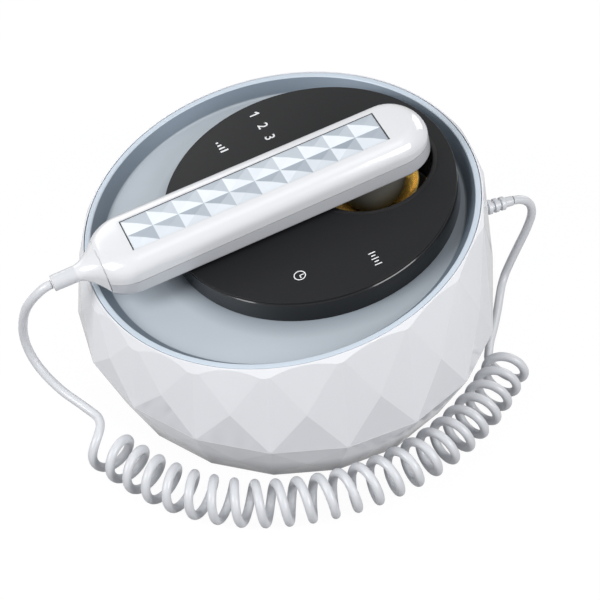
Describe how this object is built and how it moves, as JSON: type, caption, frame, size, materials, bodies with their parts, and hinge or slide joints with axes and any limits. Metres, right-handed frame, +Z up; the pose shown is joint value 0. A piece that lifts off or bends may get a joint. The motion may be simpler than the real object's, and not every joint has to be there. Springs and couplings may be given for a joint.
{
  "type": "facial toning device",
  "caption": "Faceted tabletop facial toner: a round control platter in a sloping base, and a corded handpiece whose dome electrode docks in a gold cup.",
  "frame": {"origin": "on the resting surface, under the middle of the faceted base", "axes": "+Z up; +Y towards the rear, the high side, where the cord and the power inlet leave; -Y towards the user, the low side; +X to the user's right, where the curly cord lies"},
  "size_m": [0.2333, 0.2827, 0.1361],
  "materials": {
    "shell_white": "glossy moulded white with a faint orange-peel, facets crisp at their edges",
    "tray_silver": "satin silver-blue lacquer over a moulded tray, floor finely textured",
    "piano_black": "glossy black",
    "panel_black": "matt black touch surface",
    "gold_plate": "polished gold plate",
    "electrode_metal": "dark polished electrode metal",
    "collar_chrome": "bright ring",
    "grip_white": "glossy pearl white",
    "jewel_clear": "clear faceted plastic over a pale blue-white reflector",
    "cord_white": "satin white jacket",
    "foot_rubber": "matt rubber",
    "plate_grey": "fine spark-eroded grain",
    "screw_steel": "zinc plated",
    "ballast_steel": "phosphated steel plate",
    "board_green": "solder mask over glass-fibre board",
    "core_dark": "lacquered core and winding",
    "can_blue": "sleeved cans",
    "sink_alloy": "extruded, natural",
    "inlet_black": "moulded socket",
    "led_white": "small white chips"
  },
  "bodies": {
    "base": {"faceted_shell": "shell_white", "recess_tray": "tray_silver", "base_plate": "plate_grey", "rubber_feet": "foot_rubber", "base_screws": "screw_steel", "ballast_plate": "ballast_steel", "main_board": "board_green", "board_screws": "screw_steel", "transformer": "core_dark", "capacitors": "can_blue", "heat_sink": "sink_alloy", "dc_inlet": "inlet_black", "platter_housing": "piano_black", "platter_screws": "screw_steel", "control_panel": "panel_black", "touch_board": "board_green", "indicator_leds": "led_white", "cup_well": "piano_black", "contact_cup": "gold_plate", "cup_screw": "gold_plate", "base_boot": "cord_white", "base_lead": "cord_white", "curly_cord": "cord_white", "handpiece_lead": "cord_white"},
    "handpiece": {"upper_shell": "grip_white", "lower_shell": "grip_white", "jewel_strip": "jewel_clear", "tail_cap": "grip_white", "handpiece_boot": "cord_white", "electrode_dome": "electrode_metal", "electrode_collar": "collar_chrome", "electrode_screw": "screw_steel", "handpiece_board": "board_green", "handpiece_screws": "screw_steel"}
  },
  "joints": [
    {"name": "handpiece_lift", "type": "slide", "parent": "base", "child": "handpiece", "axis": [0, -0.1874, 0.9823], "range_m": [0, 0.08]}
  ]
}
